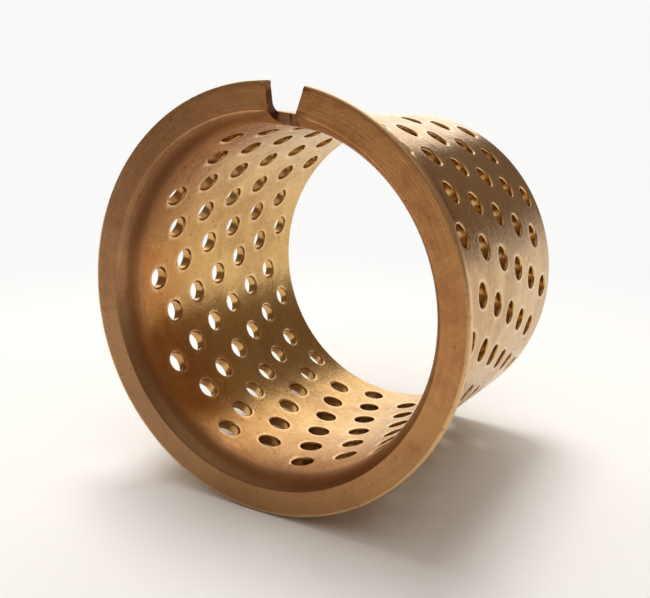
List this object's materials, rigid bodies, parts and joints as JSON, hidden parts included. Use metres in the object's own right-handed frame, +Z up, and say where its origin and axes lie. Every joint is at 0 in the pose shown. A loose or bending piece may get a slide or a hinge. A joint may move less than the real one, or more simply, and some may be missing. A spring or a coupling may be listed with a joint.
{
  "type": "flanged sleeve bushing",
  "caption": "Wrapped bronze flanged sleeve bushing: a thin perforated sleeve with a butt seam, a flared flange and a relief notch in the flange over the seam.",
  "frame": {"origin": "middle of the bore, half way along the bushing", "axes": "+Y along the bore axis from the flange to the sleeve's plain end, +Z up through the flange's relief notch and the seam, +X to the right as seen from the flange's front"},
  "size_m": [0.085, 0.067, 0.0848],
  "materials": {
    "bronze": "satin rolled bronze, warm brown to gold, with fine scratches and oil stains"
  },
  "bodies": {
    "root": {"flanged_sleeve": "bronze"}
  },
  "joints": []
}
